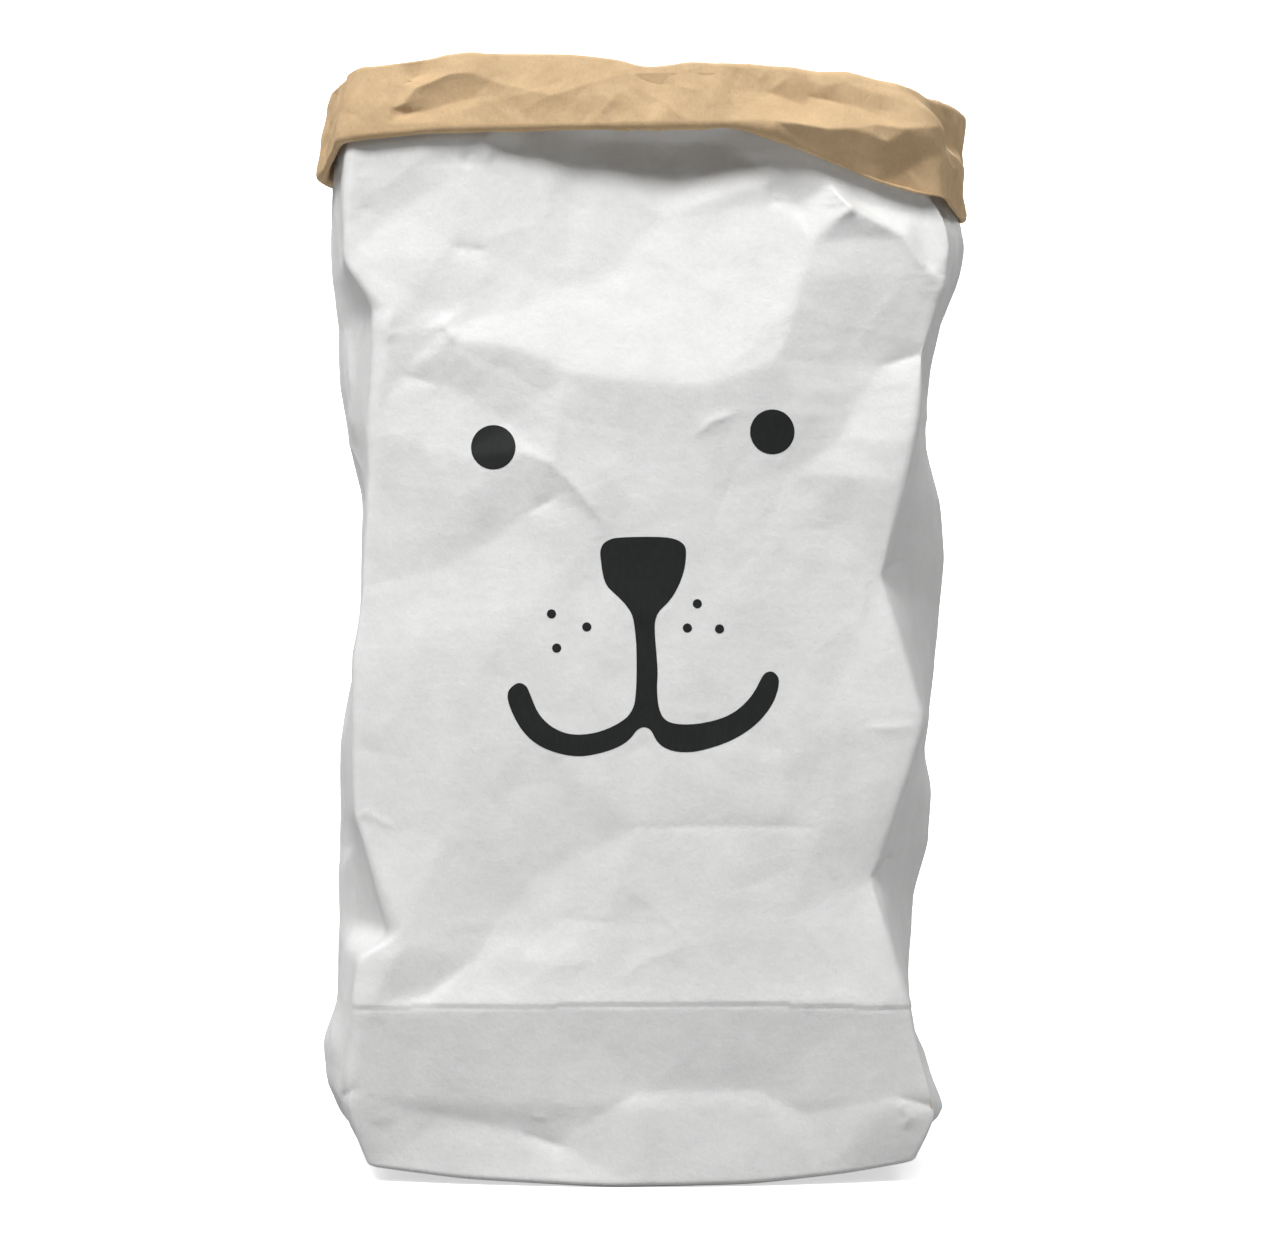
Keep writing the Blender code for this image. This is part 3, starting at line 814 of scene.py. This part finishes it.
def paper_material(name, dark, light, fibre_dark, roughness, gloss_level, fleck=None):
    """Machine-made paper: a cloudy formation, short fibres along the web, and fine crinkles."""
    n = Nodes(name)
    clouds = n.noise(70, 6, roughness=0.68)
    base = n.ramp(clouds, ((0.36, dark), (0.64, light)))
    fibres = n.noise(640, 5, (1.0, 1.0, 0.5), 0.7)
    shade = n.ramp(fibres, ((0.30, fibre_dark), (0.62, (1, 1, 1, 1))))
    colour = n.multiplied(base, shade)
    if fleck:
        specks = n.noise(900, 2, (1, 1, 0.5), 0.4)
        mask = n.ramp(specks, ((0.66, (1, 1, 1, 1)), (0.74, fleck)))
        colour = n.multiplied(colour, mask)
    n.join(colour, n.shader.inputs["Base Color"])
    gloss = n.ramp(clouds, ((0.3, grey(roughness - 0.05)), (0.7, grey(roughness + 0.07))))
    n.join(gloss, n.shader.inputs["Roughness"])
    n.shader.inputs["Specular IOR Level"].default_value = gloss_level
    cockle = n.noise(110, 4, roughness=0.6)
    crinkle = n.noise(310, 4, roughness=0.6)
    n.bump(
        ((cockle, 0.0010, 0.40), (crinkle, 0.00045, 0.40), (clouds, 0.0003, 0.30),
         (fibres, 0.00012, 0.35))
    )
    return n.material


def ink_material():
    n = Nodes("black_ink_print")
    fibres = n.noise(520, 6, (1.0, 1.0, 0.28), 0.7)
    colour = n.ramp(fibres, ((0.25, (0.018, 0.0200, 0.0192, 1)), (0.7, (0.012, 0.0138, 0.0130, 1))))
    n.join(colour, n.shader.inputs["Base Color"])
    cover = n.noise(60, 4)
    gloss = n.ramp(cover, ((0.3, grey(0.50)), (0.7, grey(0.62))))
    n.join(gloss, n.shader.inputs["Roughness"])
    n.shader.inputs["Specular IOR Level"].default_value = 0.28
    n.bump(((fibres, 0.0001, 0.25),))
    return n.material


def floor_material():
    """A pale floor. It throws less light back up at the sack than it shows, as if flagged."""
    n = Nodes("studio_floor")
    seen = n.add("ShaderNodeLightPath").outputs["Is Camera Ray"]
    tone = n.ramp(seen, ((0.0, grey(FLOOR_BOUNCE)), (1.0, grey(FLOOR_TONE))))
    n.join(tone, n.shader.inputs["Base Color"])
    glow = n.ramp(seen, ((0.0, grey(0.0)), (1.0, grey(FLOOR_GLOW))))
    n.join(glow, n.shader.inputs["Emission Color"])
    n.shader.inputs["Emission Strength"].default_value = 1.0
    n.shader.inputs["Roughness"].default_value = 0.9
    return n.material


WHITE = paper_material(
    "white_bleached_paper", (0.790, 0.792, 0.785, 1), (0.835, 0.835, 0.830, 1),
    (0.955, 0.955, 0.955, 1), 0.62, 0.30,
)
KRAFT = paper_material(
    "brown_kraft_paper", (0.585, 0.410, 0.236, 1), (0.665, 0.475, 0.282, 1),
    (0.93, 0.92, 0.90, 1), 0.80, 0.15, (0.86, 0.83, 0.78, 1),
)
INK = ink_material()


# ---- fastening to the frame


def settle(obj, slot, *nodes):
    """The piece rides on the back and base, and stands for nodes."""
    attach(obj, "back_and_base")
    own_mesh(obj)
    if nodes:
        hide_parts(*nodes)
    return obj


# ---- the pieces


def nodes_of(start):
    return sorted(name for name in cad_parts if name.startswith(start))


def outer_ply(wall):
    """The white tube: its wall, and the strip of it that turns under the base."""
    rows = []
    for share in (0.90, 0.95, 0.985):
        ring = wall[0] * (share, share, 1)
        ring[:, 2] = ring[:, 2] * share**LIFT_POWER + 0.0004
        rows.append(ring)
    points = np.concatenate([np.array(rows), wall], axis=0)
    obj = make_skin("white_outer_ply", points, WHITE)
    nodes = [name for name in nodes_of("outer_") if name != "outer_seam_lap"]
    return settle(obj, "white_paper", *nodes)


def inner_ply(wall, outward):
    """The brown tube inside the white one, up to the rolled rim."""
    obj = make_skin("brown_inner_ply", (wall - outward * PLY_GAP)[2:], KRAFT)
    obj.data.flip_normals()
    nodes = [n for n in nodes_of("inner_") if n not in ("inner_base_sheet", "inner_seam_lap")]
    return settle(obj, "brown_kraft", *nodes)


class Underside:
    """The height of the sack's underside over the floor: flat, and lifted at its corners."""

    def __init__(self, wall):
        ring = wall[0]
        angle = np.arctan2(ring[:, 1], ring[:, 0])
        order = np.argsort(angle)
        self.angle = angle[order]
        self.radius = np.hypot(ring[order, 0], ring[order, 1])
        self.lift = ring[order, 2]

    def reach(self, x, y):
        """How far the bottom edge is from the middle, in the direction of each place."""
        return np.interp(np.arctan2(y, x), self.angle, self.radius, period=2 * np.pi)

    def height(self, x, y):
        share = np.clip(np.hypot(x, y) / self.reach(x, y), 0, 1)
        lift = np.interp(np.arctan2(y, x), self.angle, self.lift, period=2 * np.pi)
        return lift * share**LIFT_POWER


def inner_base(wall, under):
    """The brown floor of the sack, with the edges of its folded end and long flaps."""
    shares = np.linspace(1.0, 0.02, 60)[:, None]
    x, y = (wall[4, :, k] * shares * INNER_BASE_SHARE for k in (0, 1))
    relief = fold(x, y, ((-0.17, 0.002), (0.17, 0.004)), 0.0012, 0.0015, 0.012)
    for side in (-1, 1):
        tip = (side * 0.062, 0.0)
        relief += fold(x, y, ((side * 0.150, 0.092), tip), 0.0011, 0.003)
        relief += fold(x, y, ((side * 0.150, -0.092), tip), 0.0011, 0.003)
    relief += random_folds(
        x, y, (-0.16, -0.09, 0.16, 0.09), 40, 31, (0.0002, 0.0008), (0.004, 0.010), (0.02, 0.06)
    )
    relief *= np.clip(1.4 - shares, 0, 1)
    z = under.height(x, y) + INNER_BASE_Z + np.maximum(relief, -0.0010)
    obj = make_skin("brown_inner_base", np.stack([x, y, z], axis=2), KRAFT)
    return settle(obj, "brown_kraft", "inner_base_sheet")


def rolled_rim(points):
    """The rolled rim: both plies, turned out and down twice."""
    obj = make_skin("rolled_kraft_rim", points, KRAFT)
    return settle(obj, "brown_kraft", *nodes_of("rolled_cuff_"))


def lap_strip(name, front, back, looks):
    """A lapped edge of paper: a thin solid strip between two grids of points."""
    tall, wide = front.shape[:2]
    faces = grid_faces(tall, wide, closed=False)
    shift = tall * wide
    behind = [tuple(shift + i for i in reversed(face)) for face in faces]
    edges = []
    for row in range(tall - 1):
        first, above = row * wide, (row + 1) * wide
        last, last_above = first + wide - 1, above + wide - 1
        edges.append((first + shift, first, above, above + shift))
        edges.append((last, last + shift, last_above + shift, last_above))
    for column in range(wide - 1):
        low, high = column, (tall - 1) * wide + column
        edges.append((low + 1, low, low + shift, low + 1 + shift))
        edges.append((high, high + 1, high + 1 + shift, high + shift))
    vertices = np.concatenate([front.reshape(-1, 3), back.reshape(-1, 3)])
    obj = make_object(name, vertices, faces + behind + edges, looks)
    obj.data.set_sharp_from_angle(angle=np.radians(50))
    return obj


def seam_laps(wall, outward):
    """Both plies' glued laps, down the middle of the back: one outside, and one inside."""
    middle = wall[ROWS // 2]
    for ply, proud, looks, slot in (
        ("outer", OUTER_LAP_PROUD, WHITE, "white_paper"),
        ("inner", INNER_LAP_PROUD, KRAFT, "brown_kraft"),
    ):
        (low_x, _, _), (high_x, _, _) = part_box(f"{ply}_seam_lap")
        at_lap = (middle[:, 0] > low_x) & (middle[:, 0] < high_x) & (middle[:, 1] > 0)
        columns = np.nonzero(at_lap)[0]
        faces = (
            (wall + outward * place)[6 : ROWS - 12][:, columns]
            for place in (proud, proud - LAP_THICKNESS * np.sign(proud))
        )
        obj = lap_strip(f"{ply}_ply_seam_lap", *faces, looks)
        if proud < 0:
            obj.data.flip_normals()
        settle(obj, slot, f"{ply}_seam_lap")


def filled(outline, step):
    """The triangles that fill a flat outline, with corners every step inside it."""
    outline = np.asarray(outline)
    low, high = outline.min(axis=0), outline.max(axis=0)
    grid = np.meshgrid(np.arange(low[0], high[0], step), np.arange(low[1], high[1], step))
    points = [Vector(p) for p in (*outline, *np.stack(grid, axis=2).reshape(-1, 2))]
    count = len(outline)
    edges = [(i, (i + 1) % count) for i in range(count)]
    found, _, faces, *_ = delaunay_2d_cdt(points, edges, [], 1, 1e-6)
    used = sorted({i for face in faces for i in face})
    number = {old: new for new, old in enumerate(used)}
    corners = np.array([tuple(found[i]) for i in used])
    return corners, [tuple(number[i] for i in face) for face in faces]


def border_edges(faces):
    """The edges that only one of the faces has, each in its face's direction."""
    found = {}
    for face in faces:
        for start, end in zip(face, (*face[1:], face[0])):
            if (end, start) in found:
                del found[(end, start)]
            else:
                found[(start, end)] = True
    return list(found)


def flap(name, outline, level, under, node):
    """A sheet of the folded base: a thin solid sheet that follows the underside."""
    dense = evenly_spaced(np.array(outline), FLAP_EDGE_STEP)
    corners, faces = filled(dense, FLAP_FILL_STEP)
    heights = under.height(corners[:, 0], corners[:, 1]) + level
    top = np.column_stack([corners, heights + FLAP_THICKNESS])
    bottom = np.column_stack([corners, heights])
    count = len(corners)
    mesh_faces = list(faces) + [tuple(i + count for i in reversed(face)) for face in faces]
    mesh_faces += [(end, start, start + count, end + count) for start, end in border_edges(faces)]
    obj = make_object(name, np.concatenate([top, bottom]), mesh_faces, WHITE)
    obj.data.set_sharp_from_angle(angle=np.radians(40))
    return settle(obj, "white_paper", node)


def evenly_spaced(loop, spacing):
    """A closed loop of points at about equal distances along the given one."""
    ring = np.concatenate([loop, loop[:1]])
    lengths = np.concatenate([[0], np.cumsum(np.hypot(*np.diff(ring, axis=0).T))])
    count = max(24, int(lengths[-1] / spacing))
    at = np.linspace(0, lengths[-1], count, endpoint=False)
    return np.stack([np.interp(at, lengths, ring[:, k]) for k in range(2)], axis=1)


def base_flaps(wall, under):
    """The folded bottom seen from under: two long flaps that lap over the two end flaps."""
    ring = wall[0][:, :2] * FLAP_SHARE
    limits = {"front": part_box("base_front_flap")[1][1], "back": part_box("base_back_flap")[0][1]}
    for side, sign, level in (("front", -1, 0.0006), ("back", 1, 0.0002)):
        outline = ring[sign * ring[:, 1] > sign * limits[side]]
        outline = outline[np.argsort(np.arctan2(-sign * outline[:, 0], sign * outline[:, 1]))]
        flap(f"base_{side}_flap_sheet", outline, level, under, f"base_{side}_flap")
    for side in ("left", "right"):
        (low_x, low_y, _), (high_x, high_y, _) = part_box(f"base_end_flap_{side}")
        tip, sign = (high_x, -1) if side == "left" else (low_x, 1)
        edge = FLAP_SHARE * sign * float(under.reach(sign, 0.0))
        middle = edge + 0.35 * (tip - edge)
        outline = (
            (edge, 0.0), (middle, 0.90 * high_y), (tip, 0.30 * high_y),
            (tip, 0.30 * low_y), (middle, 0.90 * low_y),
        )
        flap(f"base_end_flap_{side}_sheet", outline, 0.0010, under, f"base_end_flap_{side}")


def print_outline(node):
    """The outline of one printed shape, as (x, z) points in order, from its CAD node."""
    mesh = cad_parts[node].data
    mesh.calc_loop_triangles()
    front = min(v.co.y for v in mesh.vertices) + FRONT_FACE_DEPTH
    triangles = [[mesh.vertices[i].co for i in t.vertices] for t in mesh.loop_triangles]
    faces = [
        [(round(c.x, 6), round(c.z, 6)) for c in corners]
        for corners in triangles if all(c.y <= front for c in corners)
    ]
    following = dict(border_edges(faces))
    loop = [next(iter(following))]
    while following[loop[-1]] != loop[0]:
        loop.append(following[loop[-1]])
    return np.array(loop)


def rounded_outline(loop):
    """The outline at even steps, with its corners a little rounded."""
    return softened(evenly_spaced(loop, INK_STEP), INK_SOFTNESS, 0, True)


def print_on_wall(name, node, tree):
    """One printed shape, laid on the creased wall as a skin of ink."""
    corners, faces = filled(rounded_outline(print_outline(node)), INK_FILL_STEP)
    vertices = []
    for x, z in corners:
        hit, normal, _, _ = tree.ray_cast(Vector((x, -0.3, z)), Vector((0, 1, 0)))
        vertices.append(hit + normal * INK_PROUD)
    obj = make_object(name, vertices, faces, INK)
    if sum(p.normal.y * p.area for p in obj.data.polygons) > 0:
        obj.data.flip_normals()
    return settle(obj, "black_ink", node)


def printed_face(ply):
    tree = BVHTree.FromObject(ply, bpy.context.evaluated_depsgraph_get())
    for node in nodes_of("printed_"):
        print_on_wall(f"{node}_ink", node, tree)


# ---- the studio

CAMERA_DISTANCE = 1.80
CAMERA_X = -0.0060
CAMERA_Z = MID_Z + 0.0016
FRAME_WIDTH_PX = 1264
FACE_SCALE = 0.0005472      # metres of the front panel in one pixel of the frame's width

SACK_MIDDLE = (0, 0, 0.30)
LIGHTS = (
    # Name, place, what it is aimed at, size, watts and colour
    ("key", (-1.08, -2.35, 3.45), SACK_MIDDLE, (1.05, 1.05), 134, (1, 1, 1)),
    ("fill", (1.9, -1.5, 2.8), SACK_MIDDLE, (1.4, 1.4), 36, (0.98, 1, 0.98)),
    ("left_fill", (-2.0, -0.8, 2.5), SACK_MIDDLE, (1.4, 1.4), 21, (1, 1, 1)),
    ("back_fill", (0.7, 2.4, 2.0), SACK_MIDDLE, (1.6, 1.6), 34, (1, 1, 1)),
    ("backdrop", (0, 0.9, 2.6), (0, 3.6, 0.6), (3.0, 1.0), 100, (1, 1, 1)),
)


def make_camera():
    data = bpy.data.cameras.new("camera")
    data.sensor_width = 36.0
    focal_px = (CAMERA_DISTANCE + FRONT_Y) / FACE_SCALE
    data.lens = focal_px * data.sensor_width / FRAME_WIDTH_PX
    data.clip_start, data.clip_end = 0.05, 60
    camera = bpy.data.objects.new("camera", data)
    camera.location = (CAMERA_X, -CAMERA_DISTANCE, CAMERA_Z)
    camera.rotation_euler = (np.pi / 2, 0, 0)
    bpy.context.scene.collection.objects.link(camera)
    bpy.context.scene.camera = camera


def make_light(name, place, target, size, power, colour):
    data = bpy.data.lights.new(name, "AREA")
    data.shape = "RECTANGLE"
    data.size, data.size_y = size
    data.energy = power
    data.color = colour
    lamp = bpy.data.objects.new(name, data)
    lamp.location = place
    aim = Vector(target) - Vector(place)
    lamp.rotation_euler = aim.to_track_quat("-Z", "Y").to_euler()
    bpy.context.scene.collection.objects.link(lamp)


def make_air():
    """The studio beyond the floor: pale to look at, and a weak soft light from all round."""
    world = bpy.data.worlds.new("studio_air")
    world.use_nodes = True
    tree = world.node_tree
    seen = tree.nodes.new("ShaderNodeLightPath").outputs["Is Camera Ray"]
    level = tree.nodes.new("ShaderNodeMapRange")
    level.inputs["To Min"].default_value = AIR_LIGHT
    level.inputs["To Max"].default_value = AIR_SEEN
    tree.links.new(seen, level.inputs["Value"])
    tree.nodes["Background"].inputs["Color"].default_value = (1, 1, 1, 1)
    tree.links.new(level.outputs["Result"], tree.nodes["Background"].inputs["Strength"])
    bpy.context.scene.world = world


def make_floor():
    """A floor that sweeps up into a backdrop behind the sack."""
    turn = np.linspace(0.1, np.pi / 2, 12)
    depth = np.concatenate([np.linspace(-6, 2.2, 12), 2.2 + 1.6 * np.sin(turn), [3.8]])
    rise = np.concatenate([np.zeros(12), 1.6 * (1 - np.cos(turn)), [6.0]])
    vertices = [(x, y, z) for y, z in zip(depth, rise) for x in (-7.0, 7.0)]
    faces = [(2 * i, 2 * i + 1, 2 * i + 3, 2 * i + 2) for i in range(len(depth) - 1)]
    make_object("studio_floor", vertices, faces, floor_material())


def make_studio():
    make_floor()
    for light in LIGHTS:
        make_light(*light)
    make_air()
    bpy.context.scene.view_settings.view_transform = "Standard"


def main():
    wall, outward = build_wall()
    ply = outer_ply(wall)
    inner_ply(wall, outward)
    under = Underside(wall)
    inner_base(wall, under)
    rolled_rim(build_rim())
    seam_laps(wall, outward)
    base_flaps(wall, under)
    printed_face(ply)
    make_camera()
    make_studio()


main()
